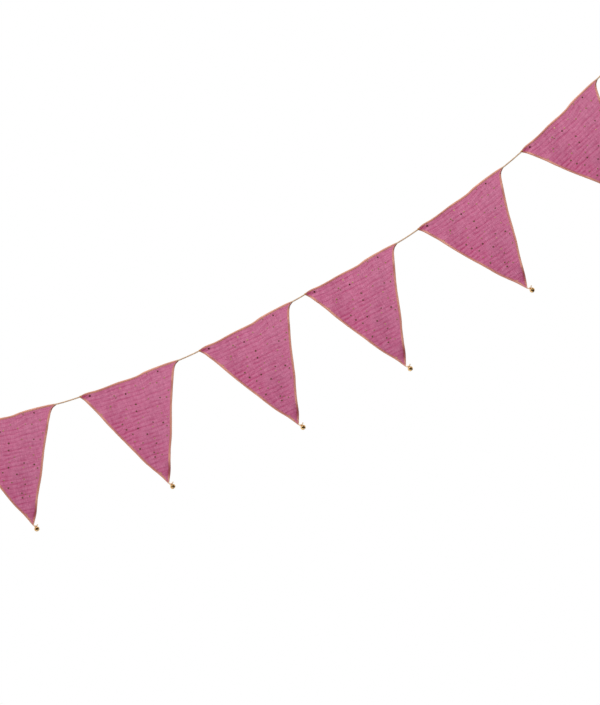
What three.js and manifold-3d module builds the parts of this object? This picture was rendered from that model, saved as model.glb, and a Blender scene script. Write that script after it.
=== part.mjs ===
// A garland of fabric bunting: triangular pennants of crinkled double gauze with an overlocked
// metallic edge, joined by a thin string, and a small jingle bell tied to the tip of each.
// Millimetres. +X runs along the span to its upper end, +Y away from the viewer, +Z up.
// The origin is where the upper hanging loop bears on its hook.
import * as THREE from 'three';
import { mergeVertices } from 'three/addons/utils/BufferGeometryUtils.js';
import Module from 'manifold-3d';

const wasm = await Module();
wasm.setup();

// Thicknesses and widths of what the pieces are made of. The rim is how far an edging stands out
// past the line of the pennant's edge.
const clothThick = 1.2;
const edgingWide = 4.2;
const edgingThick = 2.4;
const edgingRim = 1.0;
const stringWide = 2.8;
const threadWide = 0.9;
const clearance = 0.4;

// One pennant's corners: x to the right of, and y below, the start of its top edge
const corners = {
  left: new THREE.Vector2(-2.9, -0.4),
  right: new THREE.Vector2(197.1, -4.6),
  shoulder: new THREE.Vector2(194.5, -2.4),
  tip: new THREE.Vector2(103.3, 209.9),
};

// How far each edge stands out from the straight line between its corners, in millimetres,
// at a share of the way along it. The right edge leaves the top one at the shoulder.
const edges = {
  top: {
    from: corners.left,
    to: corners.right,
    outward: 1,
    shape: [
      { at: 0.0, out: 0.0 },
      { at: 0.06, out: 1.5 },
      { at: 0.16, out: -0.4 },
      { at: 0.25, out: -0.7 },
      { at: 0.38, out: -0.2 },
      { at: 0.52, out: -1.5 },
      { at: 0.58, out: -1.3 },
      { at: 0.66, out: 0.9 },
      { at: 0.8, out: 1.6 },
      { at: 0.93, out: 1.1 },
      { at: 1.0, out: 0.0 },
    ],
  },
  left: {
    from: corners.left,
    to: corners.tip,
    outward: -1,
    shape: [
      { at: 0.0, out: 0.0 },
      { at: 0.05, out: -1.6 },
      { at: 0.2, out: -1.1 },
      { at: 0.3, out: 0.7 },
      { at: 0.45, out: 2.1 },
      { at: 0.6, out: 2.6 },
      { at: 0.77, out: 3.3 },
      { at: 0.9, out: 0.8 },
      { at: 1.0, out: 0.6 },
    ],
  },
  right: {
    from: corners.shoulder,
    to: corners.tip,
    outward: 1,
    shape: [
      { at: 0.0, out: 0.0 },
      { at: 0.01, out: -3.4 },
      { at: 0.035, out: -5.0 },
      { at: 0.07, out: -6.1 },
      { at: 0.18, out: -6.3 },
      { at: 0.35, out: -5.7 },
      { at: 0.51, out: -3.2 },
      { at: 0.61, out: -1.8 },
      { at: 0.7, out: -1.9 },
      { at: 0.8, out: -1.0 },
      { at: 0.9, out: 0.6 },
      { at: 1.0, out: -0.4 },
    ],
  },
};

// The stretch of each edge that its edging covers, in shares, with the sections before it meets
// the cloth, and how it narrows to its ends in millimetres
const runs = {
  top: { from: 0.008, to: 0.982, entry: [0], start: { wide: 2.0, long: 14 }, end: { wide: 2.0, long: 14 } },
  left: { from: 0.022, to: 1.0, entry: [0], start: { wide: 2.0, long: 14 }, end: { wide: 1.6, long: 12 } },
  right: {
    from: 0.004,
    to: 0.978,
    entry: [0, 0.2, 0.5],
    start: { wide: 1.2, long: 14 },
    end: { wide: 1.3, long: 7 },
  },
};

// The stretch of each edge that the cloth reaches along
const clothReach = {
  top: { from: 0.024, to: 0.94 },
  left: { from: 0.018, to: 0.94 },
  right: { from: 0.036, to: 0.94 },
};

// Soft folds of a pennant: where each one's middle is, how far it reaches along and across,
// how far its line is turned from hanging straight down, and how deep it goes (back is plus)
const folds = [
  { name: 'left trough', x: 54, y: 62, along: 80, across: 17, turn: 6, depth: 4.5 },
  { name: 'middle ridge', x: 92, y: 84, along: 90, across: 18, turn: 4, depth: -3.2 },
  { name: 'right trough', x: 150, y: 48, along: 46, across: 16, turn: 14, depth: 3.0 },
  { name: 'corner cheek', x: 176, y: 18, along: 22, across: 12, turn: 24, depth: -3.0 },
  { name: 'left cheek', x: 60, y: 122, along: 36, across: 13, turn: -24, depth: -2.6 },
  { name: 'low cheek', x: 118, y: 162, along: 30, across: 11, turn: 14, depth: -2.6 },
  { name: 'curled tip', x: 112, y: 190, along: 20, across: 9, turn: 20, depth: 3.6 },
  { name: 'corner pleat', x: 12, y: 6, along: 12, across: 4, turn: -82, depth: 2.4 },
];
// The share of a fold's depth that the stretched top edge lets through, and how far down it holds
const topHold = 0.3;
const holdReach = 30;

// The span from its upper end down: the string above each pennant and its rise, the slope of the
// pennant's top edge, how strong its folds are and how far its tip stands back
const span = [
  { pennant: 6, string: 45.0, rise: 46.0, slope: 42.6, folds: 1.0, lean: 3 },
  { pennant: 5, string: 46.8, rise: 40.2, slope: 35.0, folds: 0.9, lean: -4 },
  { pennant: 4, string: 49.2, rise: 33.0, slope: 27.9, folds: 1.15, lean: 2 },
  { pennant: 3, string: 28.7, rise: 29.8, slope: 26.7, folds: 1.0, lean: 5 },
  { pennant: 2, string: 44.4, rise: 24.3, slope: 19.2, folds: 0.85, lean: -2 },
  { pennant: 1, string: 48.6, rise: 17.0, slope: 13.0, folds: 1.1, lean: 3 },
];
const lowerEnd = { string: 48.0, rise: 9.5 };

// Hanging loops, along +X from the knot: the angle at which the turn leaves the knot is in radians,
// and the string runs straight into the knot over the lead
const loopLong = 42.4;
const loopWide = 26.8;
const loopApart = 0.38;
const loopKnot = { along: 4.5, across: 3.2, deep: 3.0 };
const loopLead = 3.0;
const loopTail = [
  new THREE.Vector3(0, 0, 0),
  new THREE.Vector3(-4.6, -0.4, -5.2),
  new THREE.Vector3(-7.8, -1.0, -13.0),
];

// Jingle bell and its tie, measured from the bell's middle
const bell = {
  radius: 5.0,
  at: new THREE.Vector2(108.3, 219.1),
  up: new THREE.Vector3(-0.25, 0.4, 0.88).normalize(),
  seamHigh: 0.8,
  seamOut: 0.25,
  seamAngle: 0.12,
  slitWide: 1.0,
  slitTop: -1.2,
  eyeletRadius: 1.3,
  eyeletWire: 0.8,
  eyeletHigh: 5.6,
};
const tie = {
  loopRadius: 1.15,
  knotRadius: 1.0,
  knotGap: 0.3,
  tail: [
    new THREE.Vector3(-0.5, 1.7, 7.2),
    new THREE.Vector3(1.6, 1.0, 7.0),
    new THREE.Vector3(4.2, 0.6, 8.2),
  ],
};

// String
const stringSag = 0.012;
const stringSteps = 8;

const tieLoopHigh = bell.eyeletHigh + bell.eyeletRadius;
const tieKnotHigh = tieLoopHigh + bell.eyeletWire / 2 + tie.knotGap + tie.knotRadius;

// How finely the surfaces are divided: columns crowd together at both sides and rows at the top,
// where the top edge's waves and the corners' steps fade out by these powers of the way down
const clothColumns = 12;
const clothRows = 13;
const columnCrowd = 0.5;
const rowPower = 1.15;
const waveFade = 2;
const cornerFade = 12;
const edgeStep = 0.004;
const edgingSides = 6;
const tubeHalfSides = 4;
const loopSteps = 22;
const threadSteps = { run: 3, tail: 5 };
const bellSides = 12;
const bellRings = 4;
const wireSides = { section: 5, round: 10 };

const gauze = new THREE.MeshStandardMaterial({ color: 0xbc6986, roughness: 0.9 });
const edgingThread = new THREE.MeshStandardMaterial({ color: 0xc37d64, roughness: 0.5, metalness: 0.3 });
const goldThread = new THREE.MeshStandardMaterial({ color: 0xdec8a5, roughness: 0.5, metalness: 0.3 });
const brass = new THREE.MeshStandardMaterial({ color: 0xb48c50, roughness: 0.25, metalness: 1.0 });

const mix = THREE.MathUtils.lerp;
const radians = THREE.MathUtils.degToRad;

// A smooth curve through a table's rows, with the slope at each row taken from its neighbours
function smooth(rows, share) {
  let row = 0;
  while (row < rows.length - 2 && share > rows[row + 1].at) row += 1;
  const slopeAt = (i) => {
    const before = rows[Math.max(i - 1, 0)];
    const after = rows[Math.min(i + 1, rows.length - 1)];
    return (after.out - before.out) / (after.at - before.at);
  };
  const gap = rows[row + 1].at - rows[row].at;
  const t = THREE.MathUtils.clamp((share - rows[row].at) / gap, 0, 1);
  const stay = (1 + 2 * t) * (1 - t) ** 2 * rows[row].out + t * t * (3 - 2 * t) * rows[row + 1].out;
  return stay + gap * (t * (1 - t) ** 2 * slopeAt(row) - t * t * (1 - t) * slopeAt(row + 1));
}

function edgeLine(edge, share) {
  const along = edge.to.clone().sub(edge.from);
  const out = new THREE.Vector2(along.y, -along.x).normalize().multiplyScalar(edge.outward);
  return edge.from.clone().addScaledVector(along, share).addScaledVector(out, smooth(edge.shape, share));
}

// A point of an edge moved inwards, square to the edge
function inset(edge, share, distance) {
  const before = edgeLine(edge, Math.max(share - edgeStep, 0));
  const along = edgeLine(edge, Math.min(share + edgeStep, 1)).sub(before).normalize();
  const inwards = new THREE.Vector2(-along.y, along.x).multiplyScalar(edge.outward);
  return { point: edgeLine(edge, share).addScaledVector(inwards, distance), inwards };
}

function edgingWidth(name, share) {
  const run = runs[name];
  const long = edges[name].from.distanceTo(edges[name].to);
  const start = mix(run.start.wide, edgingWide, Math.min(((share - run.from) * long) / run.start.long, 1));
  const end = mix(run.end.wide, edgingWide, Math.min(((run.to - share) * long) / run.end.long, 1));
  return Math.max(Math.min(start, end), run.end.wide);
}

// Depth of a pennant's middle surface: each fold is a soft bell shape, held flatter at the top
function depthAt(point, row) {
  let depth = 0;
  for (const fold of folds) {
    const turn = radians(fold.turn);
    const dx = point.x - fold.x;
    const dy = point.y - fold.y;
    const along = (dy * Math.cos(turn) - dx * Math.sin(turn)) / fold.along;
    const across = (dx * Math.cos(turn) + dy * Math.sin(turn)) / fold.across;
    depth += fold.depth * Math.exp(-along * along - across * across);
  }
  const low = Math.max(point.y, 0);
  const free = topHold + (1 - topHold) * (1 - Math.exp(-low / holdReach));
  return depth * free * row.folds + row.lean * (low / corners.tip.y) ** 2;
}

// A closed body through rings of equal count, its ends closed across each ring
function loft(rings) {
  const around = rings[0].length;
  const positions = rings.flatMap((ring) => ring.flatMap((p) => [p.x, p.y, p.z]));
  const faces = [];
  const quad = (a, b, c, d) => faces.push(a, b, c, a, c, d);
  for (let i = 0; i < rings.length - 1; i += 1) {
    for (let k = 0; k < around; k += 1) {
      const next = (k + 1) % around;
      const lower = (i + 1) * around;
      quad(i * around + k, lower + k, lower + next, i * around + next);
    }
  }
  const last = (rings.length - 1) * around;
  for (let k = 0; k < around / 2 - 1; k += 1) {
    quad(k, k + 1, around - 2 - k, around - 1 - k);
    quad(last + k, last + around - 1 - k, last + around - 2 - k, last + k + 1);
  }
  const geometry = new THREE.BufferGeometry();
  geometry.setAttribute('position', new THREE.Float32BufferAttribute(positions, 3));
  geometry.setIndex(faces);
  geometry.computeVertexNormals();
  return geometry;
}

const columnShares = Array.from({ length: clothColumns + 1 }, (_, i) => {
  const even = i / clothColumns;
  return mix(even, (1 - Math.cos(Math.PI * even)) / 2, columnCrowd);
});
const rowShares = Array.from({ length: clothRows + 1 }, (_, j) => (j / clothRows) ** rowPower);

function clothEdge(name, share) {
  const at = mix(clothReach[name].from, clothReach[name].to, share);
  return inset(edges[name], at, edgingWidth(name, at) - edgingRim + clearance).point;
}

// The cloth: straight across from edge to edge. The top edge's waves fade out slowly downwards,
// and what parts the ends of the top row from the side edges fades out quickly.
function pennantCloth(row) {
  const ends = ['left', 'right'].map((name) => clothEdge(name, 0));
  const topEnds = [clothEdge('top', 0), clothEdge('top', 1)];
  const rings = rowShares.map((down) => {
    const left = clothEdge('left', down);
    const right = clothEdge('right', down);
    const line = columnShares.map((share) => {
      const topLine = topEnds[0].clone().lerp(topEnds[1], share);
      const wave = clothEdge('top', share).sub(topLine);
      const cornerStep = topLine.sub(ends[0].clone().lerp(ends[1], share));
      const point = left.clone().lerp(right, share).addScaledVector(wave, (1 - down) ** waveFade);
      return point.addScaledVector(cornerStep, (1 - down) ** cornerFade);
    });
    const front = line.map((p) => new THREE.Vector3(p.x, depthAt(p, row) - clothThick / 2, -p.y));
    const back = line.map((p) => new THREE.Vector3(p.x, depthAt(p, row) + clothThick / 2, -p.y));
    return [...front, ...back.reverse()];
  });
  return loft(rings);
}

// One run of edging: a flattened round section along an edge, its rings level with the cloth's
function edgingRun(name, row) {
  const reach = clothReach[name];
  const levels = name === 'top' ? columnShares : rowShares;
  const run = runs[name];
  const entry = run.entry.map((share) => mix(run.from, reach.from, share));
  const shares = [...entry, ...levels.map((share) => mix(reach.from, reach.to, share)), run.to];
  const rings = shares.map((share) => {
    const wide = edgingWidth(name, share);
    const { point, inwards } = inset(edges[name], share, wide / 2 - edgingRim);
    const middle = depthAt(point, row);
    return Array.from({ length: edgingSides }, (_, k) => {
      const angle = (2 * Math.PI * (k + 0.5)) / edgingSides;
      const p = point.clone().addScaledVector(inwards, (Math.cos(angle) * wide) / 2);
      const deep = (Math.sin(angle) * Math.min(edgingThick, wide)) / 2;
      return new THREE.Vector3(p.x, middle - deep * edges[name].outward, -p.y);
    });
  });
  return loft(rings);
}

// A round tube along a smooth curve through points
function tube(points, wide, steps) {
  const section = new THREE.Shape();
  section.absarc(0, 0, wide / 2, 0, 2 * Math.PI, false);
  const path = new THREE.CatmullRomCurve3(points);
  return new THREE.ExtrudeGeometry(section, { extrudePath: path, steps, curveSegments: tubeHalfSides });
}

function toSolid(geometry) {
  const bare = geometry.clone();
  bare.deleteAttribute('normal');
  bare.deleteAttribute('uv');
  const merged = mergeVertices(bare, 1e-4);
  const vertProperties = new Float32Array(merged.attributes.position.array);
  const triVerts = new Uint32Array(merged.index.array);
  return new wasm.Manifold(new wasm.Mesh({ numProp: 3, vertProperties, triVerts }));
}

function toGeometry(solid) {
  const mesh = solid.getMesh();
  const geometry = new THREE.BufferGeometry();
  geometry.setAttribute('position', new THREE.BufferAttribute(mesh.vertProperties, 3));
  geometry.setIndex(new THREE.BufferAttribute(mesh.triVerts, 1));
  geometry.computeVertexNormals();
  return geometry;
}

function join(geometries) {
  return toGeometry(geometries.map(toSolid).reduce((whole, piece) => whole.add(piece)));
}

function wireRing(radius, wide) {
  return new THREE.TorusGeometry(radius, wide / 2, wireSides.section, wireSides.round);
}

// The bell: a ball with a rolled seam round its middle, a wire eyelet and a crossed slit below
function bellShape() {
  const { radius, seamHigh, seamOut } = bell;
  const lower = Array.from({ length: bellRings + 1 }, (_, i) => {
    const angle = mix(-Math.PI / 2, -bell.seamAngle, i / bellRings);
    return new THREE.Vector2(i === 0 ? 0 : radius * Math.cos(angle), radius * Math.sin(angle));
  });
  const upper = lower.map((p) => new THREE.Vector2(p.x, -p.y)).reverse();
  const seam = [-1, 1].map((side) => new THREE.Vector2(radius + seamOut, (side * seamHigh) / 2));
  const ball = new THREE.LatheGeometry([...lower, ...seam, ...upper], bellSides).rotateX(Math.PI / 2);
  const eyelet = wireRing(bell.eyeletRadius, bell.eyeletWire);
  eyelet.rotateX(Math.PI / 2).translate(0, 0, bell.eyeletHigh);
  const slitHigh = radius + bell.slitTop + 1;
  const slit = new THREE.BoxGeometry(2 * radius + 2, bell.slitWide, slitHigh);
  slit.translate(0, 0, bell.slitTop - slitHigh / 2).rotateZ(Math.PI / 4);
  const whole = toSolid(ball).add(toSolid(eyelet));
  const cross = toSolid(slit).add(toSolid(slit.clone().rotateZ(Math.PI / 2)));
  return toGeometry(whole.subtract(cross));
}

// The tie: down from the tip to a knot, once through the eyelet, and one free tail
function tieShape(tip) {
  const turned = new THREE.Quaternion().setFromUnitVectors(new THREE.Vector3(0, 0, 1), bell.up);
  const ring = wireRing(tie.loopRadius, threadWide).rotateY(Math.PI / 2);
  ring.translate(0, 0, tieLoopHigh).applyQuaternion(turned);
  const knotAt = bell.up.clone().multiplyScalar(tieKnotHigh);
  const knot = new THREE.IcosahedronGeometry(tie.knotRadius, 1).translate(knotAt.x, knotAt.y, knotAt.z);
  const run = tube([tip, tip.clone().lerp(knotAt, 0.5), knotAt], threadWide, threadSteps.run);
  const tail = tube([knotAt, ...tie.tail], threadWide, threadSteps.tail);
  return join([ring, knot, run, tail]);
}

// A hanging loop: a drop-shaped turn of string, a knot and a short tail. The drop is as wide as
// loopWide where the product of the two sines is at its greatest, which is 0.77.
function loopShape() {
  const widest = 0.77;
  const points = Array.from({ length: loopSteps + 1 }, (_, i) => {
    const angle = mix(loopApart, 2 * Math.PI - loopApart, i / loopSteps);
    const along = (loopLong * (1 - Math.cos(angle))) / 2;
    const across = ((loopWide / 2) * Math.sin(angle) * Math.sin(angle / 2)) / widest;
    return new THREE.Vector3(along, 0, across);
  });
  const knot = new THREE.IcosahedronGeometry(1, 2).scale(loopKnot.along, loopKnot.deep, loopKnot.across);
  const tail = tube(loopTail, stringWide, threadSteps.tail);
  return join([tube(points, stringWide, loopSteps), knot, tail]);
}

function addMesh(parent, name, geometry, material) {
  const mesh = new THREE.Mesh(geometry, material);
  mesh.name = name;
  parent.add(mesh);
  return mesh;
}

// A direction in the plane of the garland, rising by an angle in degrees
function heading(rise) {
  return new THREE.Vector3(Math.cos(radians(rise)), 0, Math.sin(radians(rise)));
}

// A point of a pennant's top edge, in the pennant's own space
function topPoint(row, share) {
  const point = edgeLine(edges.top, share);
  return new THREE.Vector3(point.x, depthAt(point, row), -point.y);
}

// A stretch of string through two corners, sagging slightly, its ends a little clear of what they meet
function addString(garland, number, lower, upper) {
  const start = lower.end.clone().lerp(lower.corner, lower.gap / lower.end.distanceTo(lower.corner));
  const end = upper.end.clone().lerp(upper.corner, upper.gap / upper.end.distanceTo(upper.corner));
  const middle = lower.corner.clone().lerp(upper.corner, 0.5);
  middle.z -= stringSag * lower.corner.distanceTo(upper.corner);
  const points = [start, lower.corner, middle, upper.corner, end];
  addMesh(garland, `string_${number}`, tube(points, stringWide, stringSteps), goldThread);
}

// Where the string meets a loop's knot
function knotEnd(knotAt, rise, towards) {
  const corner = knotAt.clone().addScaledVector(heading(rise), towards * (loopKnot.along + loopLead));
  return { end: knotAt, corner, gap: loopKnot.along + clearance };
}

const bellGeometry = bellShape();
const loopGeometry = loopShape();

function addPennant(garland, row, rightCorner) {
  const group = new THREE.Group();
  group.rotation.y = -radians(row.slope);
  group.position.copy(rightCorner).sub(topPoint(row, 1).applyEuler(group.rotation));
  group.position.y = 0;
  garland.add(group);

  addMesh(group, `pennant_${row.pennant}`, pennantCloth(row), gauze);
  for (const name of ['top', 'left', 'right']) {
    addMesh(group, `edging_${name}_${row.pennant}`, edgingRun(name, row), edgingThread);
  }

  const tipDepth = depthAt(corners.tip, row);
  const middle = new THREE.Vector3(bell.at.x, tipDepth - bell.up.y * tieKnotHigh, -bell.at.y);
  const ball = addMesh(group, `bell_${row.pennant}`, bellGeometry, brass);
  ball.quaternion.setFromUnitVectors(new THREE.Vector3(0, 0, 1), bell.up);
  ball.position.copy(middle);
  const tip = new THREE.Vector3(corners.tip.x, tipDepth, -corners.tip.y - clearance).sub(middle);
  const thread = addMesh(group, `bell_tie_${row.pennant}`, tieShape(tip), goldThread);
  thread.position.copy(middle);

  group.updateMatrixWorld(true);
  const placed = (share) => topPoint(row, share).applyMatrix4(group.matrixWorld);
  return {
    left: { end: placed(runs.top.from), corner: placed(0), gap: clearance },
    right: { end: placed(runs.top.to), corner: placed(1), gap: clearance },
  };
}

function addLoop(garland, name, knotAt, angle) {
  const loop = addMesh(garland, name, loopGeometry, goldThread);
  loop.position.copy(knotAt);
  loop.rotation.y = -radians(angle);
}

const garland = new THREE.Group();

// From the hook down: the upper loop, then a stretch of string and a pennant in turn
const upperKnot = heading(span[0].rise).multiplyScalar(-(loopLong - stringWide / 2));
addLoop(garland, 'loop_right', upperKnot, span[0].rise);
let above = knotEnd(upperKnot, span[0].rise, -1);
let corner = upperKnot.clone();
for (const row of span) {
  corner.addScaledVector(heading(row.rise), -row.string);
  const ends = addPennant(garland, row, corner);
  addString(garland, row.pennant + 1, ends.right, above);
  above = ends.left;
  corner = ends.left.corner.clone();
}
const lowerKnot = corner.clone().addScaledVector(heading(lowerEnd.rise), -lowerEnd.string);
addString(garland, 1, knotEnd(lowerKnot, lowerEnd.rise, 1), above);
addLoop(garland, 'loop_left', lowerKnot, 180 + lowerEnd.rise);

export default garland;
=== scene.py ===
import bmesh
import bpy
import numpy as np
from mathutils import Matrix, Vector


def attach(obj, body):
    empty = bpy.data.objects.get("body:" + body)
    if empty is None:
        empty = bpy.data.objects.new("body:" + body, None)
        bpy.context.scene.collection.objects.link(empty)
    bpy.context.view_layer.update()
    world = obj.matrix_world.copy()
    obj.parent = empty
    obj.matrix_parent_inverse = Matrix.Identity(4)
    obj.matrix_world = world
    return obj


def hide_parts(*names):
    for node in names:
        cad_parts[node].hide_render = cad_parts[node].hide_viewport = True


# Fabric bunting: six pennants of crinkled double gauze, each with an overlocked metallic edge and
# a jingle bell at its tip, on a thin gold string with a hanging loop at each end.
# Lengths are metres. A pennant's own x runs along its top edge and its own down is square to that.
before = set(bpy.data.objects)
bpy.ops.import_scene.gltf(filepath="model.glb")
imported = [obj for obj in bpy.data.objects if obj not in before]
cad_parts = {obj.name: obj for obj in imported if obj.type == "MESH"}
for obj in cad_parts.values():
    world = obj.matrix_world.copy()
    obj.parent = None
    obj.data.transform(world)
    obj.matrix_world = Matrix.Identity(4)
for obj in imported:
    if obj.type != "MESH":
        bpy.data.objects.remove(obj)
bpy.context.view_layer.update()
mm = 0.001

# Camera: straight on, far away, framed as the photograph is
cameraSet = {
    "imageHigh": 705,
    "metresPerPixel": 0.00191,
    "centre": (-0.6270, -0.5839),
    "lens": 120.0,
    "sensor": 36.0,
}

# Span from its upper end down, as the CAD has it: string above each pennant, the rise of that
# string and the slope of the pennant's top edge in degrees, strength of its folds, lean of its tip
spanSet = {
    "rows": [
        {"pennant": 6, "string": 0.0450, "rise": 46.0, "slope": 42.6, "folds": 1.0, "lean": 0.003},
        {"pennant": 5, "string": 0.0468, "rise": 40.2, "slope": 35.0, "folds": 0.9, "lean": -0.004},
        {"pennant": 4, "string": 0.0492, "rise": 33.0, "slope": 27.9, "folds": 1.15, "lean": 0.002},
        {"pennant": 3, "string": 0.0287, "rise": 29.8, "slope": 26.7, "folds": 1.0, "lean": 0.005},
        {"pennant": 2, "string": 0.0444, "rise": 24.3, "slope": 19.2, "folds": 0.85, "lean": -0.002},
        {"pennant": 1, "string": 0.0486, "rise": 17.0, "slope": 13.0, "folds": 1.1, "lean": 0.003},
    ],
    "lowerString": 0.0480,
    "lowerRise": 9.5,
}

# Outline of one pennant: its corners (x, down), and how far each edge stands out from the
# straight line between them (share of the way, millimetres)
outlineSet = {
    "left": (-0.0029, -0.0004),
    "right": (0.1971, -0.0046),
    "shoulder": (0.1945, -0.0024),
    "tip": (0.1033, 0.2099),
    "topWave": [
        (0.0, 0.0), (0.06, 1.5), (0.16, -0.4), (0.25, -0.7), (0.38, -0.2), (0.52, -1.5),
        (0.58, -1.3), (0.66, 0.9), (0.8, 1.6), (0.93, 1.1), (1.0, 0.0),
    ],
    "leftWave": [
        (0.0, 0.0), (0.05, -1.6), (0.2, -1.1), (0.3, 0.7), (0.45, 2.1), (0.6, 2.6),
        (0.77, 3.3), (0.9, 0.8), (1.0, 0.6),
    ],
    "rightWave": [
        (0.0, 0.0), (0.01, -3.4), (0.035, -5.0), (0.07, -6.1), (0.18, -6.3), (0.35, -5.7),
        (0.51, -3.2), (0.61, -1.8), (0.7, -1.9), (0.8, -1.0), (0.9, 0.6), (1.0, -0.4),
    ],
    "step": 0.004,
}

# Soft folds: middle (x, down), reach along and across, turn in degrees, depth (back is plus)
foldSet = {
    "folds": [
        (0.054, 0.062, 0.080, 0.017, 6, 0.0045),
        (0.092, 0.084, 0.090, 0.018, 4, -0.0032),
        (0.150, 0.048, 0.046, 0.016, 14, 0.0030),
        (0.176, 0.018, 0.022, 0.012, 24, -0.0030),
        (0.060, 0.122, 0.036, 0.013, -24, -0.0026),
        (0.118, 0.162, 0.030, 0.011, 14, -0.0026),
        (0.112, 0.190, 0.020, 0.009, 20, 0.0036),
        (0.012, 0.006, 0.012, 0.004, -82, 0.0024),
    ],
    "topHold": 0.3,
    "holdReach": 0.030,
}


def smoothCurve(rows, share):
    # Cubic through the rows, its slope at a row that of the line between the row's neighbours
    at, out = np.array(rows).T
    before = np.maximum(np.arange(len(at)) - 1, 0)
    after = np.minimum(np.arange(len(at)) + 1, len(at) - 1)
    slope = (out[after] - out[before]) / (at[after] - at[before])
    i = np.clip(np.searchsorted(at, share) - 1, 0, len(at) - 2)
    gap = at[i + 1] - at[i]
    t = np.clip((share - at[i]) / gap, 0, 1)
    stay = (1 + 2 * t) * (1 - t) ** 2 * out[i] + t * t * (3 - 2 * t) * out[i + 1]
    return stay + gap * (t * (1 - t) ** 2 * slope[i] - t * t * (1 - t) * slope[i + 1])


# The corners that each edge runs between, its waves, and the side of the line that is outward
edges = {
    "top": {"from": "left", "to": "right", "wave": "topWave", "outward": 1},
    "left": {"from": "left", "to": "tip", "wave": "leftWave", "outward": -1},
    "right": {"from": "shoulder", "to": "tip", "wave": "rightWave", "outward": 1},
}


def edgeLine(name, share):
    # The straight line between two corners, pushed square to itself by the wave table
    edge = edges[name]
    start, end = (np.array(outlineSet[edge[k]]) for k in ("from", "to"))
    along = end - start
    out = np.array([along[1], -along[0]]) / np.hypot(*along) * edge["outward"]
    push = smoothCurve(outlineSet[edge["wave"]], share) * mm
    return start + share[..., None] * along + push[..., None] * out


def inset(name, share, distance):
    # The edge line moved inwards, square to its own direction
    step = outlineSet["step"]
    along = edgeLine(name, np.minimum(share + step, 1)) - edgeLine(name, np.maximum(share - step, 0))
    along = along / np.linalg.norm(along, axis=-1, keepdims=True)
    inwards = np.stack([-along[..., 1], along[..., 0]], -1) * edges[name]["outward"]
    return edgeLine(name, share) + inwards * np.asarray(distance)[..., None], inwards


def clothDepth(point, row):
    # Sum of soft bell shapes, held flatter near the top, plus a lean that grows with down squared
    x, down = point[..., 0], point[..., 1]
    total = np.zeros_like(x)
    for foldX, foldDown, long, wide, turn, deep in foldSet["folds"]:
        c, s = np.cos(np.radians(turn)), np.sin(np.radians(turn))
        dx, dy = x - foldX, down - foldDown
        total += deep * np.exp(-((dy * c - dx * s) / long) ** 2 - ((dx * c + dy * s) / wide) ** 2)
    low = np.maximum(down, 0)
    free = foldSet["topHold"] + (1 - foldSet["topHold"]) * (1 - np.exp(-low / foldSet["holdReach"]))
    return total * free * row["folds"] + row["lean"] * (low / outlineSet["tip"][1]) ** 2


def heading(rise):
    # Unit vector in the garland's plane, rising by an angle in degrees
    return np.array([np.cos(np.radians(rise)), 0, np.sin(np.radians(rise))])


def placed(row, x, down, depth):
    # A pennant's own point turned up by its slope and moved to its place in the span
    c, s = np.cos(np.radians(row["slope"])), np.sin(np.radians(row["slope"]))
    x, down, depth = np.broadcast_arrays(x, down, depth)
    turned = np.stack([x * c + down * s, depth, x * s - down * c], -1)
    return turned + row.get("place", np.zeros(3))


def onTop(row, share):
    # A place on a pennant's top edge, in the garland's own frame
    point = edgeLine("top", np.array(share))
    return placed(row, point[..., 0], point[..., 1], clothDepth(point, row))


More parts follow.
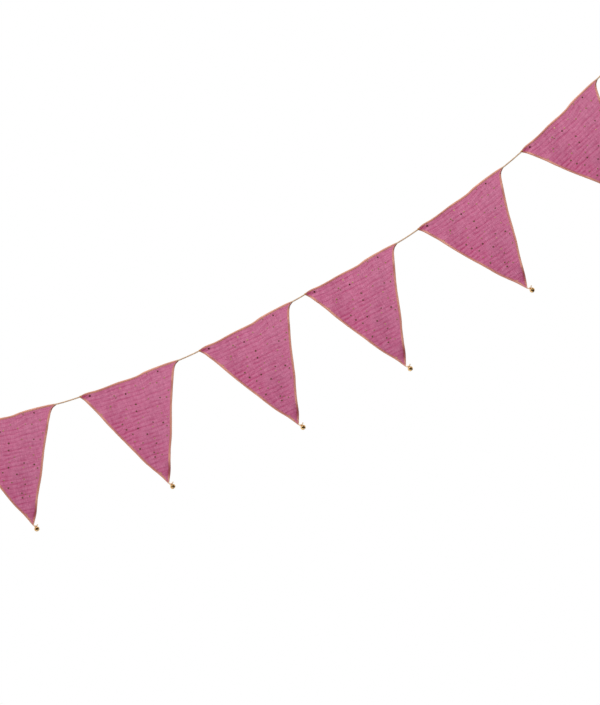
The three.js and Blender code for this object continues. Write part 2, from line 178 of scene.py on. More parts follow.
def newMesh(name, parts, materials):
    # Grids of points become one mesh. A part's "around" joins its last column to its first,
    # "ring" its last row to its first, and "ends" closes both ends with a fan or across as a strip
    points, faces, maps, slots, values, start = [], [], [], [], {}, 0
    for part in parts:
        grid, flat = part["grid"], part["map"]
        rows, columns = grid.shape[:2]
        ids = start + np.arange(rows * columns).reshape(rows, columns)
        points.append(grid.reshape(-1, 3))
        for key, value in part.get("values", {}).items():
            values.setdefault(key, []).append(np.broadcast_to(value, (rows, columns)).ravel())
        start += rows * columns
        if part.get("ring"):
            ids = np.concatenate([ids, ids[:1]])
            flat = np.concatenate([flat, 2 * flat[-1:] - flat[-2:-1]])
        if part.get("around"):
            ids = np.concatenate([ids, ids[:, :1]], 1)
            flat = np.concatenate([flat, 2 * flat[:, -1:] - flat[:, -2:-1]], 1)
        for a, kept in ((ids, faces), (flat, maps)):
            four = np.stack([a[:-1, :-1], a[:-1, 1:], a[1:, 1:], a[1:, :-1]], 2)
            kept.append(four.reshape(-1, 4, *a.shape[2:]))
        slots.append(np.full(len(faces[-1]), part.get("material", 0)))
        if part.get("ends") == "strip":
            k = np.arange(columns // 2 - 1)
            pairs = np.stack([k, columns - 1 - k, columns - 2 - k, k + 1], -1)
            for row, order in ((0, pairs), (-1, pairs[:, ::-1])):
                faces.append(ids[row][order])
                maps.append(flat[row][order])
                slots.append(np.full(len(order), part.get("material", 0)))
        if part.get("ends") == "fan":
            for row, turn in ((0, -1), (-1, 1)):
                points.append(grid[row].mean(axis=0, keepdims=True))
                for key, value in part.get("values", {}).items():
                    values[key].append(np.broadcast_to(value, (rows, columns))[row].mean(keepdims=True))
                near, far = (ids[row][:-1], ids[row][1:])[::turn]
                nearMap, farMap = (flat[row][:-1], flat[row][1:])[::turn]
                faces.append(np.stack([near, far, np.full(len(near), start)], -1))
                maps.append(np.stack([nearMap, farMap, (nearMap + farMap) / 2], 1))
                slots.append(np.full(len(near), part.get("material", 0)))
                start += 1
    mesh = bpy.data.meshes.new(name)
    mesh.from_pydata(np.concatenate(points), [], [f for block in faces for f in block.tolist()])
    for material in materials:
        mesh.materials.append(material)
    mesh.polygons.foreach_set("material_index", np.concatenate(slots).astype(np.int32))
    mesh.polygons.foreach_set("use_smooth", np.ones(len(mesh.polygons), bool))
    layer = mesh.uv_layers.new(name="ownMap")
    layer.data.foreach_set("uv", np.concatenate([m.reshape(-1, 2) for m in maps]).astype(np.float32).ravel())
    for key, value in values.items():
        kept = mesh.attributes.new(key, "FLOAT", "POINT")
        kept.data.foreach_set("value", np.concatenate(value).astype(np.float32))
    mesh.update()
    obj = bpy.data.objects.new(name, mesh)
    bpy.context.scene.collection.objects.link(obj)
    return obj


def finishPiece(obj, slot, *nodes):
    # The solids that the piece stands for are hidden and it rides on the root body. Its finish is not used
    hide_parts(*nodes)
    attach(obj, "root")
    return obj


def runLength(path):
    # The distance along a path at each of its points: the running sum of its steps
    return np.concatenate([[0], np.cumsum(np.linalg.norm(np.diff(path, axis=0), axis=1))])


def evenPath(path, spacing):
    # The same line with its points one spacing apart, in eight steps or more
    run = runLength(path)
    at = np.linspace(0, run[-1], max(int(run[-1] / spacing), 8) + 1)
    return np.stack([np.interp(at, run, path[:, k]) for k in range(3)], -1)


def softCorners(path, rounds=3):
    # Corner cutting: each round puts points a quarter and three quarters of the way along a step
    for _ in range(rounds):
        a, b = path[:-1], path[1:]
        inner = np.stack([0.75 * a + 0.25 * b, 0.25 * a + 0.75 * b], 1).reshape(-1, 3)
        path = np.concatenate([path[:1], inner, path[-1:]])
    return path


def sweep(path, radius, sides, square=(0.0, 1.0, 0.0), ring=False, mapRound=0.006):
    # A section carried along a path: path + radius(run, angle) x (side cos angle + up sin angle),
    # where side is square to the path and to one fixed direction. Its map is mapRound metres round
    along = np.roll(path, -1, 0) - np.roll(path, 1, 0) if ring else np.gradient(path, axis=0)
    along /= np.linalg.norm(along, axis=1, keepdims=True)
    side = np.cross(along, np.array(square))
    side /= np.linalg.norm(side, axis=1, keepdims=True)
    up = np.cross(along, side)
    run, angle = runLength(path)[:, None], np.arange(sides)[None] * 2 * np.pi / sides
    wide = radius(run, angle)[..., None]
    out = np.cos(angle)[..., None] * side[:, None] + np.sin(angle)[..., None] * up[:, None]
    flat = np.stack(np.broadcast_arrays(run, angle / (2 * np.pi) * mapRound), -1)
    return {"grid": path[:, None] + wide * out, "map": flat, "around": True, "ring": ring,
            "ends": None if ring else "fan"}


def twisted(wide, pitch, groove=0.16):
    # Two plies laid round each other: the radius swells twice a turn and turns along the run. With no
    # groove the section is plain
    def radius(run, angle):
        return wide / 2 * (1 - groove + groove * np.abs(np.cos(angle - np.pi * run / pitch)))
    return radius


def softStep(value):
    # 3 v squared - 2 v cubed, with v kept between 0 and 1
    value = np.clip(value, 0, 1)
    return value * value * (3 - 2 * value)


noiseCells = 48


def softNoise(x, y, cellX, cellY, seed):
    # Seeded numbers from -1 to 1 on a lattice, blended between its corners by smooth steps
    lattice = np.random.default_rng(seed).uniform(-1, 1, (noiseCells, noiseCells))
    x, y = x / cellX + noiseCells / 4, y / cellY + noiseCells / 4
    i, j = np.floor(x).astype(int), np.floor(y).astype(int)
    u, v = softStep(x - i), softStep(y - j)
    i, j = i % (noiseCells - 1), j % (noiseCells - 1)
    low = lattice[i, j] * (1 - u) + lattice[i + 1, j] * u
    high = lattice[i, j + 1] * (1 - u) + lattice[i + 1, j + 1] * u
    return low * (1 - v) + high * v


# Camera
cameraData = bpy.data.cameras.new("camera")
cameraData.lens = cameraSet["lens"]
cameraData.sensor_width = cameraSet["sensor"]
frameHigh = cameraSet["imageHigh"] * cameraSet["metresPerPixel"]
away = frameHigh * cameraSet["lens"] / cameraSet["sensor"]
camera = bpy.data.objects.new("camera", cameraData)
camera.location = (cameraSet["centre"][0], -away, cameraSet["centre"][1])
camera.rotation_euler = (np.pi / 2, 0, 0)
bpy.context.scene.collection.objects.link(camera)
bpy.context.scene.camera = camera
print("camera placed")


# Cloth of one pennant: the stretch of each edge that it reaches along, soft patches of painted shade
# where it folds and gathers, and of painted light where the amount is minus (x, down, reach along and
# across, turn in degrees, amount), the painted shade under the top edging (down, reach, amount), and
# the size that it is cut to
clothSet = {
    "thick": 0.0008,
    "columns": 100,
    "rows": 184,
    "waveFade": 2,
    "cornerFade": 40,
    "edgeSteps": 200,
    "toneScale": 0.7,
    "backMap": 0.25,
    "reach": {"top": (0.004, 0.990), "left": (0.002, 0.982), "right": (0.020, 0.984)},
    "shades": [
        (0.004, 0.0018, 0.0090, 0.0022, -8, 0.9), (0.109, 0.193, 0.012, 0.0034, 112, 0.66),
        (0.103, 0.188, 0.018, 0.006, 8, 0.25), (0.052, 0.090, 0.050, 0.022, 64, 0.26),
        (0.094, 0.146, 0.042, 0.018, 80, 0.12), (0.145, 0.040, 0.020, 0.013, 0, -0.10),
        (0.092, 0.050, 0.016, 0.010, 0, 0.15),
    ],
    "underTop": (0.0036, 0.0017, 0.12),
    "width": 0.200,
    "length": 0.2145,
    "area": 0.0212,
}


# Materials
def newMaterial(name, settings):
    material = bpy.data.materials.new(name)
    material.use_nodes = True
    shader = material.node_tree.nodes["Principled BSDF"]
    shader.inputs["Roughness"].default_value = settings["roughness"]
    shader.inputs["Metallic"].default_value = settings.get("metallic", 0.0)
    shader.inputs["Sheen Weight"].default_value = settings.get("sheen", 0.0)
    return material, material.node_tree, shader


def linear(red, green, blue):
    # A screen colour, 0 to 255, as the shader wants it
    c = np.array([red, green, blue]) / 255
    return (*np.where(c <= 0.04045, c / 12.92, ((c + 0.055) / 1.055) ** 2.4), 1.0)


def scaledMap(tree, scale, turn=0.0):
    # The piece's own flat map, scaled and turned
    uv = tree.nodes.new("ShaderNodeUVMap")
    uv.uv_map = "ownMap"
    mapping = tree.nodes.new("ShaderNodeMapping")
    mapping.inputs["Scale"].default_value = scale
    mapping.inputs["Rotation"].default_value = (0, 0, np.radians(turn))
    tree.links.new(uv.outputs["UV"], mapping.inputs["Vector"])
    return mapping.outputs["Vector"]


def noiseOn(tree, vector, scale, detail=3.0):
    noise = tree.nodes.new("ShaderNodeTexNoise")
    noise.inputs["Scale"].default_value = scale
    noise.inputs["Detail"].default_value = detail
    tree.links.new(vector, noise.inputs["Vector"])
    return noise.outputs["Fac"]


def waveOn(tree, vector, direction, distortion=0.0):
    wave = tree.nodes.new("ShaderNodeTexWave")
    wave.bands_direction = direction
    wave.inputs["Scale"].default_value = 1.0
    wave.inputs["Distortion"].default_value = distortion
    tree.links.new(vector, wave.inputs["Vector"])
    return wave.outputs["Fac"]


def ramp(tree, fac, *stops):
    node = tree.nodes.new("ShaderNodeValToRGB")
    tree.links.new(fac, node.inputs["Fac"])
    marks = node.color_ramp.elements
    while len(marks) < len(stops):
        marks.new(0.5)
    for mark, (at, colour) in zip(marks, stops):
        mark.position = at
        mark.color = colour
    return node.outputs["Color"]


def blend(tree, mode, fac, one, two):
    node = tree.nodes.new("ShaderNodeMix")
    node.data_type = "RGBA"
    node.blend_type = mode
    for socket, value in ((node.inputs[0], fac), (node.inputs[6], one), (node.inputs[7], two)):
        if isinstance(value, bpy.types.NodeSocket):
            tree.links.new(value, socket)
        else:
            socket.default_value = value
    return node.outputs[2]


def attribute(tree, name):
    # A number that the mesh holds at each of its points
    node = tree.nodes.new("ShaderNodeAttribute")
    node.attribute_name = name
    return node.outputs["Fac"]


def tinted(tree, colour, pattern, tint):
    # The colour multiplied, by a share, by the two tones that the pattern blends between
    low, high, share = tint
    return blend(tree, "MULTIPLY", share, colour, ramp(tree, pattern, low, high))


def bumped(tree, shader, height, distance, strength, below=None):
    bump = tree.nodes.new("ShaderNodeBump")
    bump.inputs["Strength"].default_value = strength
    bump.inputs["Distance"].default_value = distance
    tree.links.new(height, bump.inputs["Height"])
    if below:
        tree.links.new(below, bump.inputs["Normal"])
    tree.links.new(bump.outputs["Normal"], shader.inputs["Normal"])
    return bump.outputs["Normal"]


def patchesOn(tree, scale, detail=3.0):
    # Soft noise on the piece's own flat map
    return noiseOn(tree, scaledMap(tree, scale), 1.0, detail)


def fibred(tree, shader, settings):
    # Fine slanting fibres, as bump alone
    flat = scaledMap(tree, settings["fibreScale"], settings["fibreSlant"])
    bumped(tree, shader, waveOn(tree, flat, "X", 1.0), *settings["fibreBump"])


# Tones stand with their places on a pattern. A tint is two of them and the share that they count for
gauzeSet = {
    # Tones over the painted shade: raised, hollow and deep. The darker tones are painted shade in hollows
    # and folds
    "tones": ((0.0, linear(223, 137, 171)), (0.7, linear(198, 88, 132)), (1.0, linear(180, 54, 98))),
    "roughness": 0.92,
    "sheen": 0.05,
    "cloudScale": (22, 30, 1),
    "cloudTint": ((0.3, (0.89, 0.875, 0.89, 1)), (0.7, (0.98, 0.98, 0.98, 1)), 0.8),
    "lineScale": (400, 40, 1),
    "lineTint": ((0.35, (0.90, 0.84, 0.88, 1)), (0.65, (1.04, 1.05, 1.05, 1)), 0.85),
    "lineBump": (0.00025, 0.5),
    "threadsPerMetre": 1900,
    "wavesPerUnit": 3.18,       # bands of the wave texture at a scale of 1
    "threadWander": 0.6,
    "weaveTint": ((0.25, (0.78, 0.70, 0.76, 1)), (0.75, (1.03, 1.03, 1.03, 1)), 0.7),
    "weaveBump": (0.00012, 0.7),
    # Darker towards the tip
    "tipDarkening": ((0.1, (1, 1, 1, 1)), (0.9, (0.90, 0.864, 0.90, 1)), 1.0),
}


def gauzeMaterial():
    material, tree, shader = newMaterial("crinkledGauze", gauzeSet)
    # Painted shade: darker in the crinkle's hollows, in the folds and under the top edging
    colour = ramp(tree, attribute(tree, "paintedShade"), *gauzeSet["tones"])
    cloudy = patchesOn(tree, gauzeSet["cloudScale"])
    colour = tinted(tree, colour, cloudy, gauzeSet["cloudTint"])
    lines = patchesOn(tree, gauzeSet["lineScale"], 2.0)
    colour = tinted(tree, colour, lines, gauzeSet["lineTint"])
    threads = gauzeSet["threadsPerMetre"] / gauzeSet["wavesPerUnit"]
    flat = scaledMap(tree, (threads, threads, 1))
    warp, weft = (waveOn(tree, flat, way, gauzeSet["threadWander"]) for way in "XY")
    weave = blend(tree, "LIGHTEN", 1.0, warp, weft)
    colour = tinted(tree, colour, weave, gauzeSet["weaveTint"])
    split = tree.nodes.new("ShaderNodeSeparateXYZ")
    tree.links.new(scaledMap(tree, (1, 1 / clothSet["length"], 1)), split.inputs["Vector"])
    colour = tinted(tree, colour, split.outputs["Y"], gauzeSet["tipDarkening"])
    tree.links.new(colour, shader.inputs["Base Color"])
    coarse = bumped(tree, shader, lines, *gauzeSet["lineBump"])
    bumped(tree, shader, weave, *gauzeSet["weaveBump"], coarse)
    return material


overlockSet = {
    "tones": ((0.0, linear(186, 99, 95)), (0.3, linear(206, 127, 117)), (0.75, linear(218, 156, 132))),
    "roughness": 0.45,
    "metallic": 0.15,
    "patchScale": (60, 60, 1),
    "patchTint": ((0.35, (0.90, 0.86, 0.86, 1)), (0.65, (1.06, 1.05, 1.02, 1)), 0.8),
    # Painted shade and painted highlight with the thread's own tone: dark where the edging turns under at
    # the right corner, light on the outer rim
    "toneAndPaintedShade": (
        (0.0, (0.26, 0.13, 0.15, 1)), (0.15, (0.54, 0.28, 0.40, 1)), (0.5, (1, 1, 1, 1)),
        (1.0, (1.27, 1.55, 1.57, 1)),
    ),
    "fibreScale": (900, 320, 1),
    "fibreSlant": 18,
    "fibreBump": (0.00012, 0.6),
}


def edgingMaterial():
    material, tree, shader = newMaterial("overlockThread", overlockSet)
    colour = ramp(tree, attribute(tree, "crest"), *overlockSet["tones"])
    patches = patchesOn(tree, overlockSet["patchScale"])
    colour = tinted(tree, colour, patches, overlockSet["patchTint"])
    # The thread's tone with painted shade and painted highlight along the edging
    toneAndPaintedShade = ramp(tree, attribute(tree, "shade"), *overlockSet["toneAndPaintedShade"])
    tree.links.new(blend(tree, "MULTIPLY", 1.0, colour, toneAndPaintedShade), shader.inputs["Base Color"])
    fibred(tree, shader, overlockSet)
    return material


goldThreadSet = {
    "dark": linear(172, 136, 112),
    "light": linear(212, 180, 142),
    "pale": linear(240, 212, 176),
    "ochre": linear(196, 128, 58),
    "roughness": 0.5,
    "metallic": 0.1,
    "patchScale": (150, 400, 1),
    "darkAt": 0.32,
    "lightAt": 0.6,
    "fibreScale": (900, 500, 1),
    "fibreSlant": 35,
    "fibreBump": (0.0001, 0.6),
}


def goldThreadMaterial(name, dark, light):
    material, tree, shader = newMaterial(name, goldThreadSet)
    patches = patchesOn(tree, goldThreadSet["patchScale"])
    colour = ramp(tree, patches, (goldThreadSet["darkAt"], goldThreadSet[dark]),
                  (goldThreadSet["lightAt"], goldThreadSet[light]))
    colour = blend(tree, "MIX", attribute(tree, "stitch"), colour, goldThreadSet["ochre"])
    tree.links.new(colour, shader.inputs["Base Color"])
    fibred(tree, shader, goldThreadSet)
    return material


brassSet = {
    "tones": ((0.3, linear(200, 150, 88)), (0.65, linear(238, 202, 142))),
    "roughness": 0.2,
    "metallic": 1.0,
    "patchScale": 260.0,
    "grainScale": 900.0,
    "grainBump": (0.00006, 0.35),
}


def brassMaterial():
    material, tree, shader = newMaterial("brass", brassSet)
    place = tree.nodes.new("ShaderNodeTexCoord").outputs["Object"]
    patches = noiseOn(tree, place, brassSet["patchScale"])
    colour = ramp(tree, patches, *brassSet["tones"])
    tree.links.new(colour, shader.inputs["Base Color"])
    grain = noiseOn(tree, place, brassSet["grainScale"])
    bumped(tree, shader, grain, *brassSet["grainBump"])
    return material


insideSet = {"colour": linear(70, 44, 20), "roughness": 0.55, "metallic": 1.0}


def plainMaterial(name, settings):
    material, _, shader = newMaterial(name, settings)
    shader.inputs["Base Color"].default_value = settings["colour"]
    return material


foilSet = {
    # From dark to light is a painted reflection: a dark dot mirrors the dark room in front, a light one the
    # light
    "tones": ((0.0, linear(86, 34, 12)), (1.0, linear(204, 164, 124))),
    "roughness": 0.42,
    "metallic": 0.3,
    "grainScale": (1500, 1500, 1),
    "grainTint": ((0.3, (0.75, 0.72, 0.7, 1)), (0.7, (1.1, 1.1, 1.1, 1)), 0.8),
    "grainBump": (0.00008, 0.5),
}


def foilMaterial():
    material, tree, shader = newMaterial("goldFoil", foilSet)
    colour = ramp(tree, attribute(tree, "tone"), *foilSet["tones"])
    grain = patchesOn(tree, foilSet["grainScale"])
    tree.links.new(tinted(tree, colour, grain, foilSet["grainTint"]), shader.inputs["Base Color"])
    bumped(tree, shader, grain, *foilSet["grainBump"])
    return material


gauze = gauzeMaterial()
overlockThread = edgingMaterial()
goldThread = goldThreadMaterial("goldThread", "dark", "light")
# The same gold thread a step paler: painted light on the tie against the shade round the bell's eyelet
tieThread = goldThreadMaterial("tieThread", "light", "pale")
brass = brassMaterial()
bellInside = plainMaterial("bellInside", insideSet)
goldFoil = foilMaterial()
print("materials made")

# Strings and hanging loops: two plies twisted together, each string's ends tucked in under an
# edging or into a loop's knot, and three turns of darker thread where a string meets a left corner
stringSet = {
    "wide": 0.0028,
    "pitch": 0.0048,
    "groove": 0.12,
    "spacing": 0.00040,
    "sides": 14,
    "sag": 0.012,
    "sagSteps": 17,
    "tuckLeft": 0.016,
    "tuckRight": 0.0224,
    "loopLong": 0.0424,
    "loopWide": 0.0268,
    "loopApart": 0.38,
    "loopWidest": 0.77,
    "loopLead": 0.0075,
    "loopSteps": 400,
    "sewnAt": 0.0008,
    "sewnLong": 0.0030,
    "sewnRadius": 0.0016,
    "sewnThread": 0.0011,
    "sewnPitch": 0.003,
    "sewnTurns": 3,
    "sewnSteps": 90,
    "sewnSides": 8,
    "knotSize": (0.00112, 0.00082, 0.0011),
    "knotSteps": 120,
    "tail": [(0.0, 0.0, 0.0), (-0.0046, -0.0004, -0.0052), (-0.0078, -0.0010, -0.0130)],
}


def turnedUp(points, rise, place):
    # Points turned up by an angle in degrees, in the garland's plane, and moved
    c, s = np.cos(np.radians(rise)), np.sin(np.radians(rise))
    x, y, z = points.T
    return np.stack([x * c - z * s, y, x * s + z * c], -1) + place


def stringPath(lowerIn, lower, upper, upperIn):
    # From inside one end piece to inside the other; between the corners it sags as a parabola
    share = np.linspace(0, 1, stringSet["sagSteps"])[:, None]
    sag = stringSet["sag"] * np.linalg.norm(upper - lower) * 4 * share * (1 - share)
    between = lower + share * (upper - lower) - sag * np.array([0, 0, 1.0])
    path = softCorners(np.concatenate([[lowerIn], between, [upperIn]]), rounds=2)
    return evenPath(path, stringSet["spacing"])


def trefoil(size, place, axisTurn, steps):
    # The plain overhand knot: (sin t + 2 sin 2t, -sin 3t, cos t - 2 cos 2t), scaled on each axis
    t = np.linspace(0, 2 * np.pi, steps, endpoint=False)
    across, high, deep = np.sin(t) + 2 * np.sin(2 * t), np.cos(t) - 2 * np.cos(2 * t), -np.sin(3 * t)
    own = np.stack([across * size[0], deep * size[1], high * size[2]], -1)
    return turnedUp(own, axisTurn, place)


def makeLoop(name, node, knotAt, rise):
    # A drop: along = long (1 - cos a) / 2, across = half width sin a sin(a / 2) / its most
    spacing, sides = stringSet["spacing"], stringSet["sides"]
    angle = np.linspace(stringSet["loopApart"], 2 * np.pi - stringSet["loopApart"], stringSet["loopSteps"])
    along = stringSet["loopLong"] * (1 - np.cos(angle)) / 2
    across = stringSet["loopWide"] / 2 * np.sin(angle) * np.sin(angle / 2) / stringSet["loopWidest"]
    drop = np.stack([along, 0 * along, across], -1)
    drop = np.concatenate([[[0, 0, 0]], drop, [[0, 0, 0]]])
    path = evenPath(turnedUp(drop, rise, knotAt), spacing)
    tail = evenPath(turnedUp(softCorners(np.array(stringSet["tail"])), rise, knotAt), spacing)
    knot = trefoil(stringSet["knotSize"], knotAt, rise, stringSet["knotSteps"])
    shape = twisted(stringSet["wide"], stringSet["pitch"], stringSet["groove"])
    parts = [sweep(path, shape, sides), sweep(tail, shape, sides), sweep(knot, shape, sides, ring=True)]
    return finishPiece(newMesh(name, parts, [goldThread]), "gold_thread", node)


def sewnTurns(lower, upper):
    # A short coil round the string's upper end: upper + ahead x run + radius x (out cos t + side sin t)
    ahead = (upper - lower) / np.linalg.norm(upper - lower)
    out = np.array([0, 1.0, 0])
    t = np.linspace(0, 2 * np.pi * stringSet["sewnTurns"], stringSet["sewnSteps"])[:, None]
    path = upper + ahead * (stringSet["sewnAt"] + stringSet["sewnLong"] * (t / t[-1] - 0.5))
    path = path + stringSet["sewnRadius"] * (np.cos(t) * out + np.sin(t) * np.cross(ahead, out))
    return sweep(path, twisted(stringSet["sewnThread"], stringSet["sewnPitch"]), stringSet["sewnSides"])


def makeString(number, lowerIn, lower, upper, upperIn, farEnd, reverse):
    # The cord runs from the corner that it leaves: its lower end or, with reverse, its upper one
    path = stringPath(lowerIn, lower, upper, upperIn)
    if reverse:
        path = path[::-1]
    shape = twisted(stringSet["wide"], stringSet["pitch"], stringSet["groove"])
    parts = [{**sweep(path, shape, stringSet["sides"]), "values": {"stitch": 0.0}}]
    if farEnd == "object" or reverse:
        parts.append({**sewnTurns(lower, upper), "values": {"stitch": 1.0}})
    string = newMesh(f"twistedString{number}", parts, [goldThread])
    finishPiece(string, "gold_thread", f"string_{number}")


# From the upper loop's knot down: each pennant's place, the lower knot, then the loops and strings
upperKnot = -heading(spanSet["rows"][0]["rise"]) * (stringSet["loopLong"] - stringSet["wide"] / 2)
corner = upperKnot
for row in spanSet["rows"]:
    corner = corner - heading(row["rise"]) * row["string"]
    row["place"] = (corner - onTop(row, 1.0)) * np.array([1, 0, 1])
    corner = onTop(row, 0.0)
lowerKnot = corner - heading(spanSet["lowerRise"]) * spanSet["lowerString"]

upperLoop = makeLoop("upperLoop", "loop_right", upperKnot, spanSet["rows"][0]["rise"])
lowerLoop = makeLoop("lowerLoop", "loop_left", lowerKnot, 180 + spanSet["lowerRise"])
aboveIn = upperKnot
above = upperKnot - heading(spanSet["rows"][0]["rise"]) * stringSet["loopLead"]
for row in spanSet["rows"]:
    first = row is spanSet["rows"][0]
    inside = onTop(row, 1 - stringSet["tuckRight"])
    makeString(row["pennant"] + 1, inside, onTop(row, 1.0), above, aboveIn,
               "knot" if first else "object", False)
    aboveIn, above = onTop(row, stringSet["tuckLeft"]), onTop(row, 0.0)
lowerLead = lowerKnot + heading(spanSet["lowerRise"]) * stringSet["loopLead"]
makeString(1, lowerKnot, lowerLead, above, aboveIn, "knot", True)
print("strings and loops made")

# Edging: thread laid closely over the cloth's edge, slanting across it and knotted along the rim.
# Of each run: its width, how far it stands past the edge, the share of the edge it covers, its
# width at each end and the length over which it widens, points (x, down) before and after it, and
# its tone, partly the thread's own and partly painted shade and painted highlight (share of the edge,
# on the inner side, on the outer side)
edgingSet = {
    "thick": 0.0017,
    "runs": {
        "top": {
            "wide": 0.0043, "rim": 0.0016, "reach": (0.0, 1.0),
            "start": (0.0018, 0.012), "end": (0.0022, 0.014),
            "lead": [], "close": [],
            "shades": [
                (0.0, 0.32, 0.30), (0.03, 0.32, 0.36), (0.06, 0.42, 0.48), (0.12, 0.45, 0.49),
                (0.22, 0.39, 0.44), (0.33, 0.39, 0.44), (0.42, 0.53, 0.54), (0.5, 0.43, 0.49),
                (0.6, 0.53, 0.59), (0.75, 0.63, 0.69), (0.88, 0.53, 0.59), (1, 0.53, 0.49),
            ],
        },
        "left": {
            "wide": 0.0047, "rim": 0.0013, "reach": (0.006, 0.996),
            "start": (0.0026, 0.010), "end": (0.0018, 0.012),
            "lead": [], "close": [(0.1036, 0.2118), (0.1039, 0.2126)],
            "shades": [
                (0, 0.16, 0.4), (0.03, 0.21, 0.4), (0.07, 0.56, 0.75), (0.12, 0.19, 0.46), (0.2, 0.46, 0.7),
                (0.27, 0.46, 0.7), (0.36, 0.21, 0.55), (0.48, 0.16, 0.52), (0.58, 0.36, 0.65),
                (0.66, 0.29, 0.6), (0.8, 0.21, 0.55), (0.87, 0.16, 0.46), (0.93, 0.41, 0.7), (1, 0.41, 0.6),
            ],
        },
        "right": {
            "wide": 0.0047, "rim": 0.0013, "reach": (0.036, 1.0),
            "start": (0.0042, 0.014), "end": (0.0016, 0.009),
            "lead": [
                (0.2006, -0.0051), (0.1980, -0.0046), (0.1947, -0.0033), (0.1912, -0.0017),
                (0.1883, 0.0001),
            ],
            "close": [(0.1040, 0.2118), (0.1042, 0.2126)],
            "shades": [
                (0, 0.43, 0), (0.029, 0.38, 0), (0.045, 0.35, 0.43), (0.1, 0.38, 0.58), (0.125, 0.73, 0.83),
                (0.17, 0.29, 0.48), (0.22, 0.29, 0.53), (0.27, 0.43, 0.63), (0.33, 0.29, 0.53),
                (0.45, 0.38, 0.63), (0.6, 0.23, 0.53), (0.7, 0.35, 0.53), (0.8, 0.58, 0.73),
                (0.84, 0.3, 0.45), (0.88, 0.1, 0.2), (0.93, 0.1, 0.25), (0.97, 0.43, 0.5), (1, 0.43, 0.5),
            ],
        },
    },
    "leadTaper": (0.5, 0.9),
    "steps": 260,
    "spacing": 0.00030,
    "sides": 12,
    "stitch": 0.0015,
    "slant": 0.42,
    "groove": 0.11,
    "rimKnots": 0.10,
    "sideBlend": 0.9,
    "uneven": 0.07,
    "unevenLong": 0.011,
    "mapRound": 0.011,
    "seed": 40,
}


def edgingWidth(name, share):
    # The run's own width, narrowing in a straight line to each of its ends
    run, edge = edgingSet["runs"][name], edges[name]
    long = np.hypot(*np.subtract(outlineSet[edge["to"]], outlineSet[edge["from"]]))
    (startWide, startLong), (endWide, endLong) = run["start"], run["end"]
    fromStart, toEnd = (share - run["reach"][0]) * long, (run["reach"][1] - share) * long
    start = startWide + (run["wide"] - startWide) * np.minimum(fromStart / startLong, 1)
    end = endWide + (run["wide"] - endWide) * np.minimum(toEnd / endLong, 1)
    return np.maximum(np.minimum(start, end), endWide)


def edgingPath(name):
    # The middle line of one edging, with what it does before and after its run along the edge,
    # and at each point its width and the share of the edge reached
    run = edgingSet["runs"][name]
    share = np.linspace(*run["reach"], edgingSet["steps"])
    wide = edgingWidth(name, share)
    middle = inset(name, share, wide / 2 - run["rim"])[0]
    lead, close = (np.array(run[k]).reshape(-1, 2) for k in ("lead", "close"))
    widening = wide[0] * np.linspace(*edgingSet["leadTaper"], len(lead))
    wide = np.concatenate([widening, wide, np.full(len(close), wide[-1])])
    share = np.concatenate([np.zeros(len(lead)), share, np.ones(len(close))])
    return np.concatenate([lead, middle, close]), wide, share


def makeEdging(row, name):
    # An oval ring carried along the edge. Its size swells at each slanting thread, by
    # |cos(pi (run / stitch +- slant cos angle))|, plus on one face and minus on the other, and at the
    # rim's knots, on its outer side, by cos(pi run / stitch) squared x (-cos angle) cubed
    middle, wide, share = edgingPath(name)
    along = runLength(middle)
    at = np.linspace(0, along[-1], int(along[-1] / edgingSet["spacing"]))
    middle = np.stack([np.interp(at, along, middle[:, k]) for k in (0, 1)], -1)
    shares, inner, outer = np.array(edgingSet["runs"][name]["shades"]).T
    share = np.interp(at, along, share)[:, None]
    seed = edgingSet["seed"] + row["pennant"] * len(edges) + list(edges).index(name)
    uneven = edgingSet["uneven"] * softNoise(at, at * 0, edgingSet["unevenLong"], 1, seed)
    wide = np.interp(at, along, wide) * (1 + uneven)
    ahead = np.gradient(middle, axis=0)
    ahead /= np.linalg.norm(ahead, axis=1, keepdims=True)
    inwards = np.stack([-ahead[:, 1], ahead[:, 0]], -1) * edges[name]["outward"]
    at = at[:, None]
    angle = 2 * np.pi * (np.arange(edgingSet["sides"]) + 0.5) / edgingSet["sides"]
    phase = at / edgingSet["stitch"] + edgingSet["slant"] * np.cos(angle) * np.sign(np.sin(angle))
    thread = np.abs(np.cos(np.pi * phase))
    knot = np.abs(np.cos(np.pi * at / edgingSet["stitch"])) ** 2 * np.clip(-np.cos(angle), 0, 1) ** 3
    size = 1 - edgingSet["groove"] + edgingSet["groove"] * thread + edgingSet["rimKnots"] * knot
    side = softStep(0.5 + edgingSet["sideBlend"] * np.cos(angle))
    # Tone with painted shade and painted highlight, blended from the inner side to the outer
    shade = side * np.interp(share, shares, inner) + (1 - side) * np.interp(share, shares, outer)
    point = middle[:, None] + inwards[:, None] * (np.cos(angle) * wide[:, None] / 2 * size)[..., None]
    thick = np.minimum(edgingSet["thick"], wide)[:, None] / 2 * size
    depth = clothDepth(point, row) - np.sin(angle) * thick * edges[name]["outward"]
    grid = placed(row, point[..., 0], point[..., 1], depth)
    flat = np.stack(np.broadcast_arrays(at, angle / (2 * np.pi) * edgingSet["mapRound"]), -1)
    part = {"grid": grid, "map": flat, "around": True, "ends": "fan",
            "values": {"crest": thread, "shade": shade}}
    edging = newMesh(f"{name}Edging{row['pennant']}", [part], [overlockThread])
    return finishPiece(edging, "edging", f"edging_{name}_{row['pennant']}")


